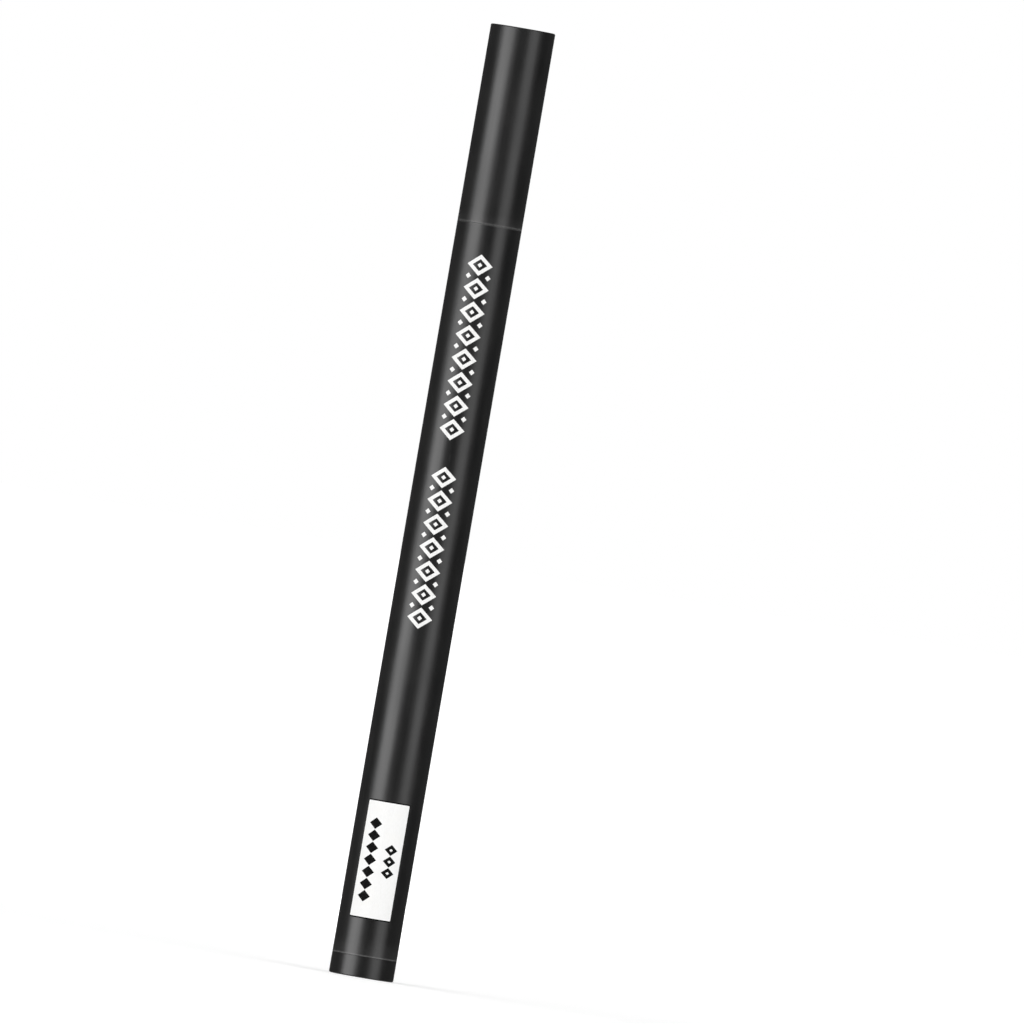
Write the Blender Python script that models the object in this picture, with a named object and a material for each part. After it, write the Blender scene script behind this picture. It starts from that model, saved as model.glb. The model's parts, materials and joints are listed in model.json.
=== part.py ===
"""A capped fabric marker: a felt-tip pen with a pointed nib, standing upright on its end plug.

Run with: blender --background --python part.py
Metres, +Z up. The origin is the centre of the end plug's flat face, and Z is the pen's axis.
The label faces -Y. The cap slides off along +Z.
"""

import math

import bmesh
import bpy
from mathutils import Matrix

MM = 0.001

# The two sizes that the whole pen is known by, with the cap on
OVERALL_LENGTH = 140.0 * MM
BODY_DIAMETER = 9.5 * MM

# Front section: what stands out of the barrel when the cap is off
NOSE_LENGTH = 19.5 * MM
NOSE_BASE_DIAMETER = 4.96 * MM
NOSE_TAPER = 0.15 * MM
NOSE_FILLET = 1.3 * MM
NECK_START_SHARE = 0.36
NECK_END_SHARE = 0.71
SHOULDER_WIDTH = 0.65 * MM
SHOULDER_HEIGHT = 0.8 * MM
SHOULDER_FILLET = 0.6 * MM
SECTION_SPIGOT_LENGTH = 12.0 * MM
SECTION_SPIGOT_WALL = 1.1 * MM
SECTION_BORE_WALL = 1.05 * MM
NIB_GUIDE_LENGTH = 3.5 * MM
NIB_RIB_WIDTH = 0.35 * MM
NIB_RIB_COUNT = 4

# Nib: a fibre rod with a long soft point
NIB_DIAMETER = 1.8 * MM
NIB_EXPOSED = 6.7 * MM
NIB_IN_RESERVOIR = 4.5 * MM
NIB_POINT_DIAMETER = 0.12 * MM
NIB_TAIL_CHAMFER = 0.2 * MM
# Its outline outside the nose, as shares of the exposed length and of the rod's radius
NIB_OUTLINE_SHARES = (
    (0.00, 1.00),
    (0.33, 0.90),
    (0.55, 0.80),
    (0.70, 0.64),
    (0.82, 0.43),
    (0.92, 0.23),
)

# Barrel and end plug
BARREL_WALL = 0.9 * MM
BARREL_RIB_WIDTH = 0.6 * MM
BARREL_RIB_HEIGHT = 0.28 * MM
BARREL_RIB_COUNT = 4
BARREL_RIB_END_MARGIN = 2.0 * MM
PLUG_FLANGE_LENGTH = 3.0 * MM
PLUG_SPIGOT_LENGTH = 7.0 * MM
PLUG_SPIGOT_WALL = 0.8 * MM
PLUG_FLOOR = 1.6 * MM
PLUG_SPIGOT_PLAY = 0.25 * MM
PLUG_RIB_WIDTH = 0.5 * MM
PLUG_RIB_COUNT = 6
PLUG_STOP_THICKNESS = 0.8 * MM
PLUG_STOP_RISE = 2.0 * MM

# Ink reservoir: a fibre core in a thin film sleeve
FILM_THICKNESS = 0.2 * MM

# Cap and the liner pressed into it
CAP_WALL = 0.8 * MM
CAP_TOP_WALL = 1.2 * MM
CAP_RIB_WIDTH = 0.6 * MM
CAP_RIB_LENGTH = 5.0 * MM
CAP_RIB_START = 0.4 * MM
CAP_RIB_COUNT = 6
LINER_WALL = 0.45 * MM
LINER_END_WALL = 0.5 * MM
LINER_COLLAR_LENGTH = 1.4 * MM
LINER_RIB_WIDTH = 0.6 * MM
LINER_RIB_COUNT = 4
NIB_TIP_ROOM = 1.05 * MM

# Paper label on the barrel, facing -Y
LABEL_START = 8.75 * MM
LABEL_LENGTH = 17.0 * MM
LABEL_ARC = math.radians(74.0)
LABEL_TURN = math.radians(-2.0)
LABEL_THICKNESS = 0.12 * MM
LABEL_GLUE = 0.03 * MM
LABEL_STEPS = 16

# A fillet takes at most this share of a side next to it, and two on one side take half of it each
FILLET_LIMIT_SHARE = 0.96

# Clearances and small edges
SEAM_GAP = 0.15 * MM
SEAT_GAP = 0.10 * MM
FIT_GAP = 0.08 * MM
SLIDE_GAP = 0.15 * MM
STACK_GAP = 0.20 * MM
OUTER_EDGE = 0.25 * MM
SEAM_EDGE = 0.12 * MM
LEAD_IN = 0.4 * MM
OVERRUN = 0.15 * MM
WELD = 0.0005 * MM

# Facets
TURNED_SIDES = 48
NIB_SIDES = 24
FILLET_STEPS = 3
NOSE_FILLET_STEPS = 6
NECK_STEPS = 10
SMOOTH_ANGLE = math.radians(35.0)

# Finish of each material: colour as linear red, green and blue, and roughness
BLACK_PLASTIC = (0.012, 0.012, 0.012)
LINER_PLASTIC = (0.55, 0.55, 0.53)
INKED_FIBRE = (0.008, 0.009, 0.016)
FILM = (0.62, 0.66, 0.68)
LABEL_PAPER = (0.86, 0.86, 0.85)
SATIN_ROUGHNESS = 0.38
SOFT_ROUGHNESS = 0.6
FIBRE_ROUGHNESS = 0.85

# Radii that follow from the sizes above
BODY_R = BODY_DIAMETER / 2
BARREL_BORE_R = BODY_R - BARREL_WALL
CAP_BORE_R = BODY_R - CAP_WALL
GRIP_R = CAP_BORE_R - SLIDE_GAP
SHOULDER_R = GRIP_R + SHOULDER_WIDTH
SECTION_SPIGOT_R = BARREL_BORE_R - FIT_GAP
SECTION_CAVITY_R = SECTION_SPIGOT_R - SECTION_SPIGOT_WALL
NOSE_BASE_R = NOSE_BASE_DIAMETER / 2
NOSE_TIP_R = NOSE_BASE_R - NOSE_TAPER
SECTION_BORE_R = NOSE_TIP_R - SECTION_BORE_WALL
NIB_R = NIB_DIAMETER / 2
NIB_HOLE_R = NIB_R + FIT_GAP
FILM_R = BARREL_BORE_R - BARREL_RIB_HEIGHT - FIT_GAP
FILM_BORE_R = FILM_R - FILM_THICKNESS
CORE_R = FILM_BORE_R - FIT_GAP
PLUG_SPIGOT_R = BARREL_BORE_R - PLUG_SPIGOT_PLAY
LINER_R = CAP_BORE_R - FIT_GAP
LINER_BORE_R = NOSE_BASE_R + FIT_GAP
LINER_TUBE_R = LINER_BORE_R + LINER_WALL

# Heights that follow, from the end plug's face upwards
CAP_REACH = (
    NOSE_LENGTH + NIB_EXPOSED + NIB_TIP_ROOM + LINER_END_WALL + SEAT_GAP + CAP_TOP_WALL
)
RIM_Z = OVERALL_LENGTH - CAP_REACH
CAP_MOUTH_Z = RIM_Z + SEAM_GAP
CAP_CEILING_Z = OVERALL_LENGTH - CAP_TOP_WALL
BARREL_START_Z = PLUG_FLANGE_LENGTH + SEAT_GAP
PLUG_SPIGOT_TOP_Z = PLUG_FLANGE_LENGTH + PLUG_SPIGOT_LENGTH
PLUG_STOP_TOP_Z = PLUG_SPIGOT_TOP_Z + PLUG_STOP_RISE
SECTION_START_Z = RIM_Z - SECTION_SPIGOT_LENGTH
SHOULDER_START_Z = RIM_Z + SEAT_GAP
SHOULDER_TOP_Z = SHOULDER_START_Z + SHOULDER_HEIGHT
NECK_START_Z = RIM_Z + NOSE_LENGTH * NECK_START_SHARE
NECK_END_Z = RIM_Z + NOSE_LENGTH * NECK_END_SHARE
NOSE_TOP_Z = RIM_Z + NOSE_LENGTH
NIB_TIP_Z = NOSE_TOP_Z + NIB_EXPOSED
RESERVOIR_START_Z = PLUG_STOP_TOP_Z + STACK_GAP
RESERVOIR_TOP_Z = SECTION_START_Z - STACK_GAP
NIB_TAIL_Z = RESERVOIR_TOP_Z - NIB_IN_RESERVOIR
LINER_TOP_Z = CAP_CEILING_Z - SEAT_GAP
LINER_MOUTH_Z = NECK_END_Z + SEAT_GAP
BARREL_RIB_START_Z = PLUG_SPIGOT_TOP_Z + BARREL_RIB_END_MARGIN
BARREL_RIB_TOP_Z = SECTION_START_Z - BARREL_RIB_END_MARGIN


def clear_scene():
    for obj in list(bpy.data.objects):
        bpy.data.objects.remove(obj, do_unlink=True)


def plain_material(name, colour, roughness):
    """A Principled material with one colour and no metal."""
    material = bpy.data.materials.new(name)
    material.use_nodes = True
    shader = material.node_tree.nodes["Principled BSDF"]
    shader.inputs["Base Color"].default_value = (*colour, 1.0)
    shader.inputs["Roughness"].default_value = roughness
    shader.inputs["Metallic"].default_value = 0.0
    return material


def rounded(corners, steps=FILLET_STEPS):
    """The closed outline through (radius, height, fillet) corners, with each fillet as an arc.

    A fillet is limited by the shorter side next to it, as FILLET_LIMIT_SHARE says.
    """
    outline = []
    for i, (r, z, fillet) in enumerate(corners):
        before, after = corners[i - 1], corners[(i + 1) % len(corners)]
        if fillet == 0:
            outline.append((r, z))
            continue
        to_before = (before[0] - r, before[1] - z)
        to_after = (after[0] - r, after[1] - z)
        length_before, length_after = math.hypot(*to_before), math.hypot(*to_after)
        u = (to_before[0] / length_before, to_before[1] / length_before)
        v = (to_after[0] / length_after, to_after[1] / length_after)
        half = math.acos(max(-1.0, min(1.0, u[0] * v[0] + u[1] * v[1]))) / 2
        room_before = length_before / 2 if before[2] else length_before
        room_after = length_after / 2 if after[2] else length_after
        longest = FILLET_LIMIT_SHARE * min(room_before, room_after)
        cut_back = min(fillet / math.tan(half), longest)
        radius = cut_back * math.tan(half)
        middle = (u[0] + v[0], u[1] + v[1])
        reach = radius / math.sin(half) / math.hypot(*middle)
        centre = (r + middle[0] * reach, z + middle[1] * reach)
        start = (r + u[0] * cut_back - centre[0], z + u[1] * cut_back - centre[1])
        end = (r + v[0] * cut_back - centre[0], z + v[1] * cut_back - centre[1])
        first = math.atan2(start[1], start[0])
        turn = math.atan2(end[1], end[0]) - first
        turn = (turn + math.pi) % math.tau - math.pi
        for step in range(steps + 1):
            angle = first + turn * step / steps
            outline.append(
                (centre[0] + radius * math.cos(angle), centre[1] + radius * math.sin(angle))
            )
    return outline


def object_from(bm, name, material):
    """Turns a finished bmesh into a smooth-shaded object in the scene."""
    bmesh.ops.recalc_face_normals(bm, faces=bm.faces)
    mesh = bpy.data.meshes.new(name)
    bm.to_mesh(mesh)
    bm.free()
    mesh.shade_smooth()
    mesh.set_sharp_from_angle(angle=SMOOTH_ANGLE)
    if material:
        mesh.materials.append(material)
    obj = bpy.data.objects.new(name, mesh)
    bpy.context.scene.collection.objects.link(obj)
    return obj


def turned(name, outline, material, sides=TURNED_SIDES):
    """A solid of revolution about Z. Two neighbouring outline points on the axis close it there."""
    bm = bmesh.new()
    points = [bm.verts.new((r, 0.0, z)) for r, z in outline]
    edges = []
    for a, b in zip(points, points[1:] + points[:1]):
        if a.co.x > 0 or b.co.x > 0:
            edges.append(bm.edges.new((a, b)))
    bmesh.ops.spin(
        bm,
        geom=points + edges,
        cent=(0, 0, 0),
        axis=(0, 0, 1),
        angle=math.tau,
        steps=sides,
        use_merge=True,
    )
    bmesh.ops.remove_doubles(bm, verts=bm.verts, dist=WELD)
    bmesh.ops.dissolve_degenerate(bm, edges=bm.edges, dist=WELD)
    return object_from(bm, name, material)


def add_box(bm, low, high, turn):
    """Adds a box between two corners, turned about Z."""
    corners = [
        (x, y, z) for x in (low[0], high[0]) for y in (low[1], high[1]) for z in (low[2], high[2])
    ]
    c, s = math.cos(turn), math.sin(turn)
    verts = [bm.verts.new((x * c - y * s, x * s + y * c, z)) for x, y, z in corners]
    for loop in ((0, 1, 3, 2), (4, 6, 7, 5), (0, 4, 5, 1), (2, 3, 7, 6), (0, 2, 6, 4), (1, 5, 7, 3)):
        bm.faces.new([verts[i] for i in loop])


def helper_from(bm, name):
    """A shape that a Boolean uses and no render shows."""
    helper = object_from(bm, name, None)
    helper.hide_render = True
    helper.display_type = "WIRE"
    return helper


def ribs(name, count, width, radii, heights):
    """Evenly spaced axial ribs, from one radius to another and from one height to another."""
    bm = bmesh.new()
    for i in range(count):
        low = (radii[0], -width / 2, heights[0])
        high = (radii[1], width / 2, heights[1])
        add_box(bm, low, high, math.tau * i / count)
    return helper_from(bm, name)


def cross(name, reach, thickness, heights):
    """An upright prism whose section is a plus sign."""
    half = thickness / 2
    quarter = [(reach, -half), (reach, half), (half, half)]
    bm = bmesh.new()
    points = []
    for turn in range(4):
        for x, y in quarter:
            for _ in range(turn):
                x, y = -y, x
            points.append(bm.verts.new((x, y, heights[0])))
    base = bm.faces.new(points)
    grown = bmesh.ops.extrude_face_region(bm, geom=[base])
    top = [item for item in grown["geom"] if isinstance(item, bmesh.types.BMVert)]
    bmesh.ops.translate(bm, verts=top, vec=(0, 0, heights[1] - heights[0]))
    return helper_from(bm, name)


def fuse(obj, helper):
    """Joins a helper's shapes to a piece with a Boolean union."""
    union = obj.modifiers.new("fuse_" + helper.name, "BOOLEAN")
    union.operation = "UNION"
    union.solver = "EXACT"
    union.object = helper


def make_end_plug(plastic):
    """The plug that closes the barrel's rear: a flange to stand on, a hollow spigot and a stop."""
    cup_r = PLUG_SPIGOT_R - PLUG_SPIGOT_WALL
    outline = rounded(
        [
            (0.0, 0.0, 0.0),
            (BODY_R, 0.0, OUTER_EDGE),
            (BODY_R, PLUG_FLANGE_LENGTH, SEAM_EDGE),
            (PLUG_SPIGOT_R, PLUG_FLANGE_LENGTH, 0.0),
            (PLUG_SPIGOT_R, PLUG_SPIGOT_TOP_Z - LEAD_IN, 0.0),
            (PLUG_SPIGOT_R - LEAD_IN, PLUG_SPIGOT_TOP_Z, 0.0),
            (cup_r, PLUG_SPIGOT_TOP_Z, 0.0),
            (cup_r, PLUG_FLOOR, 0.0),
            (0.0, PLUG_FLOOR, 0.0),
        ]
    )
    plug = turned("end_plug", outline, plastic)
    crush_ribs = ribs(
        "plug_crush_ribs",
        PLUG_RIB_COUNT,
        PLUG_RIB_WIDTH,
        (PLUG_SPIGOT_R - PLUG_SPIGOT_WALL / 2, BARREL_BORE_R - FIT_GAP),
        (BARREL_START_Z + SEAT_GAP, PLUG_SPIGOT_TOP_Z - LEAD_IN - SEAT_GAP),
    )
    fuse(plug, crush_ribs)
    # The reservoir stands on a cross that reaches across the cup and above its rim
    stop = cross(
        "plug_stop",
        cup_r + PLUG_SPIGOT_WALL / 2,
        PLUG_STOP_THICKNESS,
        (PLUG_FLOOR - OVERRUN, PLUG_STOP_TOP_Z),
    )
    fuse(plug, stop)


def make_barrel(plastic):
    """The straight tube that is held in the hand, with ribs in its bore that centre the reservoir."""
    outline = rounded(
        [
            (BODY_R, BARREL_START_Z, SEAM_EDGE),
            (BODY_R, RIM_Z, SEAM_EDGE),
            (BARREL_BORE_R, RIM_Z, 0.0),
            (BARREL_BORE_R, BARREL_START_Z, 0.0),
        ]
    )
    barrel = turned("barrel", outline, plastic)
    reservoir_ribs = ribs(
        "barrel_reservoir_ribs",
        BARREL_RIB_COUNT,
        BARREL_RIB_WIDTH,
        (BARREL_BORE_R - BARREL_RIB_HEIGHT, BARREL_BORE_R + BARREL_WALL / 2),
        (BARREL_RIB_START_Z, BARREL_RIB_TOP_Z),
    )
    fuse(barrel, reservoir_ribs)


def neck_outline():
    """The front section's narrowing from its straight part to the base of its nose."""
    points = []
    for step in range(NECK_STEPS + 1):
        share = step / NECK_STEPS
        ease = (1 - math.cos(math.pi * share)) / 2
        r = GRIP_R + (NOSE_BASE_R - GRIP_R) * ease
        z = NECK_START_Z + (NECK_END_Z - NECK_START_Z) * share
        points.append((r, z))
    return points


def make_front_section(plastic):
    """The part that carries the nib: a spigot in the barrel, a shoulder, a waisted neck and a nose."""
    guide_z = NOSE_TOP_Z - NIB_GUIDE_LENGTH
    cone = SECTION_BORE_R - NIB_HOLE_R
    outline = rounded(
        [
            (SECTION_CAVITY_R, SECTION_START_Z, 0.0),
            (SECTION_SPIGOT_R - LEAD_IN, SECTION_START_Z, 0.0),
            (SECTION_SPIGOT_R, SECTION_START_Z + LEAD_IN, 0.0),
            (SECTION_SPIGOT_R, SHOULDER_START_Z, 0.0),
            (SHOULDER_R, SHOULDER_START_Z, 0.0),
            (SHOULDER_R, SHOULDER_TOP_Z, SHOULDER_FILLET),
            (GRIP_R, SHOULDER_TOP_Z, 0.0),
        ]
    )
    outline += neck_outline()
    outline += rounded(
        [
            (NOSE_BASE_R, NECK_END_Z, 0.0),
            (NOSE_TIP_R, NOSE_TOP_Z, NOSE_FILLET),
            (NIB_HOLE_R, NOSE_TOP_Z, 0.0),
        ],
        NOSE_FILLET_STEPS,
    )[1:]
    outline += [
        (NIB_HOLE_R, guide_z),
        (SECTION_BORE_R, guide_z - cone),
        (SECTION_BORE_R, NECK_START_Z),
        (SECTION_CAVITY_R, SHOULDER_START_Z),
    ]
    section = turned("front_section", outline, plastic)
    nib_ribs = ribs(
        "section_nib_ribs",
        NIB_RIB_COUNT,
        NIB_RIB_WIDTH,
        (NIB_HOLE_R, SECTION_BORE_R + SECTION_BORE_WALL / 2),
        (NECK_START_Z + cone, guide_z),
    )
    fuse(section, nib_ribs)


def make_nib(fibre):
    """One fibre rod: its tail sits in the reservoir and its front is ground to a soft point."""
    outline = [
        (0.0, NIB_TAIL_Z),
        (NIB_R - NIB_TAIL_CHAMFER, NIB_TAIL_Z),
        (NIB_R, NIB_TAIL_Z + NIB_TAIL_CHAMFER),
    ]
    outline += [
        (NIB_R * width, NOSE_TOP_Z + NIB_EXPOSED * along) for along, width in NIB_OUTLINE_SHARES
    ]
    outline += [(NIB_POINT_DIAMETER / 2, NIB_TIP_Z), (0.0, NIB_TIP_Z)]
    turned("nib", outline, fibre, NIB_SIDES)


def make_reservoir(fibre, film):
    """The ink-soaked fibre core, bored for the nib's tail, and the film sleeve round it."""
    tail_hole_r = NIB_R + FIT_GAP
    core = [
        (0.0, RESERVOIR_START_Z),
        (CORE_R, RESERVOIR_START_Z),
        (CORE_R, RESERVOIR_TOP_Z),
        (tail_hole_r, RESERVOIR_TOP_Z),
        (tail_hole_r, NIB_TAIL_Z - STACK_GAP),
        (0.0, NIB_TAIL_Z - STACK_GAP),
    ]
    turned("reservoir_core", core, fibre)
    sleeve = [
        (FILM_R, RESERVOIR_START_Z),
        (FILM_R, RESERVOIR_TOP_Z),
        (FILM_BORE_R, RESERVOIR_TOP_Z),
        (FILM_BORE_R, RESERVOIR_START_Z),
    ]
    turned("reservoir_film", sleeve, film)


def make_cap(plastic):
    """The cap: as thick as the barrel, closed at the top, recessed at the mouth for the shoulder."""
    recess_r = SHOULDER_R + FIT_GAP
    recess_top_z = SHOULDER_TOP_Z + SEAT_GAP
    outline = rounded(
        [
            (BODY_R, CAP_MOUTH_Z, SEAM_EDGE),
            (BODY_R, OVERALL_LENGTH, OUTER_EDGE),
            (0.0, OVERALL_LENGTH, 0.0),
            (0.0, CAP_CEILING_Z, 0.0),
            (CAP_BORE_R, CAP_CEILING_Z, 0.0),
            (CAP_BORE_R, recess_top_z, 0.0),
            (recess_r, recess_top_z, SHOULDER_FILLET + FIT_GAP),
            (recess_r, CAP_MOUTH_Z, 0.0),
        ]
    )
    cap = turned("cap_shell", outline, plastic)
    rib_start_z = recess_top_z + CAP_RIB_START
    grip_ribs = ribs(
        "cap_grip_ribs",
        CAP_RIB_COUNT,
        CAP_RIB_WIDTH,
        (GRIP_R + FIT_GAP, CAP_BORE_R + CAP_WALL / 2),
        (rib_start_z, rib_start_z + CAP_RIB_LENGTH),
    )
    fuse(cap, grip_ribs)


def make_cap_liner(soft_plastic):
    """The thimble pressed into the cap that seals round the nose and keeps the nib wet."""
    collar_top_z = LINER_MOUTH_Z + LINER_COLLAR_LENGTH
    liner_end_z = LINER_TOP_Z - LINER_END_WALL
    outline = rounded(
        [
            (LINER_BORE_R, LINER_MOUTH_Z, LINER_WALL / 2),
            (LINER_R, LINER_MOUTH_Z, 0.0),
            (LINER_R, collar_top_z, 0.0),
            (LINER_TUBE_R, collar_top_z, 0.0),
            (LINER_TUBE_R, LINER_TOP_Z, 0.0),
            (0.0, LINER_TOP_Z, 0.0),
            (0.0, liner_end_z, 0.0),
            (LINER_BORE_R, liner_end_z, 0.0),
        ]
    )
    liner = turned("cap_liner", outline, soft_plastic)
    tube_ribs = ribs(
        "liner_ribs",
        LINER_RIB_COUNT,
        LINER_RIB_WIDTH,
        (LINER_TUBE_R - LINER_WALL / 2, LINER_R - FIT_GAP),
        (collar_top_z - LINER_COLLAR_LENGTH / 2, LINER_TOP_Z - LINER_END_WALL / 2),
    )
    fuse(liner, tube_ribs)


def make_label(paper):
    """A paper label wrapped part of the way round the barrel."""
    inner_r = BODY_R + LABEL_GLUE
    outer_r = inner_r + LABEL_THICKNESS
    top_z = LABEL_START + LABEL_LENGTH
    corners = [(inner_r, LABEL_START), (outer_r, LABEL_START), (outer_r, top_z), (inner_r, top_z)]
    first = LABEL_TURN - LABEL_ARC / 2 - math.pi / 2
    bm = bmesh.new()
    end = bm.faces.new([bm.verts.new((r, 0.0, z)) for r, z in corners])
    bmesh.ops.rotate(bm, verts=bm.verts, matrix=Matrix.Rotation(first, 3, "Z"))
    bmesh.ops.spin(
        bm,
        geom=[end],
        cent=(0, 0, 0),
        axis=(0, 0, 1),
        angle=LABEL_ARC,
        steps=LABEL_STEPS,
    )
    object_from(bm, "label", paper)


def main():
    clear_scene()
    black = plain_material("black_plastic", BLACK_PLASTIC, SATIN_ROUGHNESS)
    soft = plain_material("liner_plastic", LINER_PLASTIC, SOFT_ROUGHNESS)
    ink = plain_material("inked_fibre", INKED_FIBRE, FIBRE_ROUGHNESS)
    film = plain_material("film", FILM, SATIN_ROUGHNESS)
    paper = plain_material("label_paper", LABEL_PAPER, SOFT_ROUGHNESS)
    make_end_plug(black)
    make_barrel(black)
    make_front_section(black)
    make_nib(ink)
    make_reservoir(ink, film)
    make_cap(black)
    make_cap_liner(soft)
    make_label(paper)


main()
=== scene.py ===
"""The looks of a capped fabric marker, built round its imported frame.

Satin black mouldings, a soft fibre nib, a paper label and a plain printed ornament.
Metres, +Z up, in the frame of the CAD model: its boxes give each piece its place.
The label faces -Y, and the camera looks along +Y.
"""

import json
import math

import bmesh
import bpy
from mathutils import Matrix, Vector, noise

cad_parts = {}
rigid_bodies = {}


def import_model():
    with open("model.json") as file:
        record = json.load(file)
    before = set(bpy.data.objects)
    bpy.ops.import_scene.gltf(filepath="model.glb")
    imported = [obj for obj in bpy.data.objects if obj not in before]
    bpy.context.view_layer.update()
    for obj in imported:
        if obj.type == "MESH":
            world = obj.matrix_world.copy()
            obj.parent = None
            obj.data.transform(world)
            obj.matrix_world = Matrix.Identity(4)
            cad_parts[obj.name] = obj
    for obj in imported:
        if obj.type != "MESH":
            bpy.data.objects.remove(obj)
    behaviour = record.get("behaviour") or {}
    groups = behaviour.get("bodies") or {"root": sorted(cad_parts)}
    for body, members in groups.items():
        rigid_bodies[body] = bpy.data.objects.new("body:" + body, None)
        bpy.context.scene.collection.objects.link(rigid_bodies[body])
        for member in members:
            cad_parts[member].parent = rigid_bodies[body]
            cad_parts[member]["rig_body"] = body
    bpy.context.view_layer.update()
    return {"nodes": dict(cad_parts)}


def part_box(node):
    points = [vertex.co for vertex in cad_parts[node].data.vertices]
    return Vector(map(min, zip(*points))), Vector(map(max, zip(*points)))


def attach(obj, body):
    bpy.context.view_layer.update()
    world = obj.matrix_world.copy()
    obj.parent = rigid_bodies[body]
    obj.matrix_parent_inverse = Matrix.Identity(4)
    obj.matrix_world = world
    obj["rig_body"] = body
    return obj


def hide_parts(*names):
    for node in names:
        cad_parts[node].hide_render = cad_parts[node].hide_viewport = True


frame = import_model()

MM = 0.001

# Places and sizes that the frame gives
barrel_low, barrel_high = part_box("barrel")
_, plug_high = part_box("end_plug")
section_low, section_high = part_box("front_section")
nib_low, nib_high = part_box("nib")
_, cap_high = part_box("cap_shell")
liner_low, liner_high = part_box("cap_liner")
label_low, label_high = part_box("label")

# Clearances and small edges
SEAT_GAP = 0.10 * MM
FIT_GAP = 0.08 * MM
SLIDE_GAP = 0.15 * MM
OUTER_EDGE = 0.22 * MM
SEAM_EDGE = 0.05 * MM
SEAM_LINE = 0.01 * MM
LEAD_IN = 0.4 * MM
OVERRUN = 0.15 * MM
WELD = 0.0005 * MM

# Barrel and end plug
BODY_R = barrel_high.x
BARREL_START_Z = barrel_low.z
RIM_Z = barrel_high.z
BARREL_WALL = 0.9 * MM
BARREL_BORE_R = BODY_R - BARREL_WALL
BARREL_RIB_WIDTH = 0.6 * MM
BARREL_RIB_HEIGHT = 0.28 * MM
BARREL_RIB_COUNT = 4
BARREL_RIB_END_MARGIN = 2.0 * MM
PLUG_FLANGE_TOP_Z = BARREL_START_Z - SEAM_LINE
PLUG_STOP_TOP_Z = plug_high.z
PLUG_STOP_RISE = 2.0 * MM
PLUG_SPIGOT_TOP_Z = PLUG_STOP_TOP_Z - PLUG_STOP_RISE
PLUG_SPIGOT_PLAY = 0.25 * MM
PLUG_SPIGOT_R = BARREL_BORE_R - PLUG_SPIGOT_PLAY
PLUG_SPIGOT_WALL = 0.8 * MM
PLUG_FLOOR = 1.6 * MM
PLUG_RIB_WIDTH = 0.5 * MM
PLUG_RIB_COUNT = 6
PLUG_STOP_THICKNESS = 0.8 * MM

# Front section, nib and cap
CAP_WALL = 0.8 * MM
CAP_TOP_WALL = 1.2 * MM
CAP_TOP_Z = cap_high.z
CAP_MOUTH_Z = RIM_Z + SEAM_LINE
CAP_BORE_R = BODY_R - CAP_WALL
CAP_CEILING_Z = CAP_TOP_Z - CAP_TOP_WALL
CAP_RIB_WIDTH = 0.6 * MM
CAP_RIB_LENGTH = 5.0 * MM
CAP_RIB_START = 0.4 * MM
CAP_RIB_COUNT = 6
GRIP_R = CAP_BORE_R - SLIDE_GAP
SHOULDER_R = section_high.x
SHOULDER_START_Z = RIM_Z + SEAM_LINE
SHOULDER_HEIGHT = 0.8 * MM
SHOULDER_TOP_Z = RIM_Z + SEAT_GAP + SHOULDER_HEIGHT
SHOULDER_FILLET = 0.6 * MM
SECTION_START_Z = section_low.z
SECTION_SPIGOT_R = BARREL_BORE_R - FIT_GAP
SECTION_SPIGOT_WALL = 1.1 * MM
SECTION_CAVITY_R = SECTION_SPIGOT_R - SECTION_SPIGOT_WALL
NOSE_TOP_Z = section_high.z
NOSE_LENGTH = NOSE_TOP_Z - RIM_Z
NOSE_BASE_R = 2.48 * MM
NOSE_TAPER = 0.15 * MM
NOSE_TIP_R = NOSE_BASE_R - NOSE_TAPER
NOSE_FILLET = 1.3 * MM
SECTION_BORE_WALL = 1.05 * MM
SECTION_BORE_R = NOSE_TIP_R - SECTION_BORE_WALL
NECK_START_SHARE = 0.36
NECK_END_SHARE = 0.71
NECK_START_Z = RIM_Z + NOSE_LENGTH * NECK_START_SHARE
NECK_END_Z = RIM_Z + NOSE_LENGTH * NECK_END_SHARE
NIB_R = nib_high.x
NIB_TAIL_Z = nib_low.z
NIB_TIP_Z = nib_high.z
NIB_HOLE_R = NIB_R + FIT_GAP
NIB_GUIDE_LENGTH = 3.5 * MM
NIB_RIB_WIDTH = 0.35 * MM
NIB_RIB_COUNT = 4
NIB_POINT_R = 0.06 * MM
NIB_TAIL_CHAMFER = 0.2 * MM
NIB_FUZZ = 0.022 * MM
NIB_FUZZ_SIZE = 0.35 * MM
# The nib's outline outside the nose, as shares of the exposed length and of the rod's radius
NIB_OUTLINE_SHARES = (
    (0.00, 1.00),
    (0.33, 0.90),
    (0.55, 0.80),
    (0.70, 0.64),
    (0.82, 0.43),
    (0.92, 0.23),
    (1.00, 0.07),
)
LINER_R = liner_high.x
LINER_MOUTH_Z = liner_low.z
LINER_TOP_Z = liner_high.z
LINER_BORE_R = NOSE_BASE_R + FIT_GAP
LINER_WALL = 0.45 * MM
LINER_TUBE_R = LINER_BORE_R + LINER_WALL
LINER_END_WALL = 0.5 * MM
LINER_COLLAR_LENGTH = 1.4 * MM
LINER_RIB_WIDTH = 0.6 * MM
LINER_RIB_COUNT = 4

# The gate mark that moulding leaves in the middle of both closed ends
GATE_DIMPLE_R = 1.1 * MM
GATE_DIMPLE_DEPTH = 0.16 * MM
GATE_STUB_R = 0.4 * MM
GATE_STUB_HEIGHT = 0.09 * MM
# The dimple's slope has a ring of points at this share of its depth
GATE_RING_SHARE = 0.25

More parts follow.
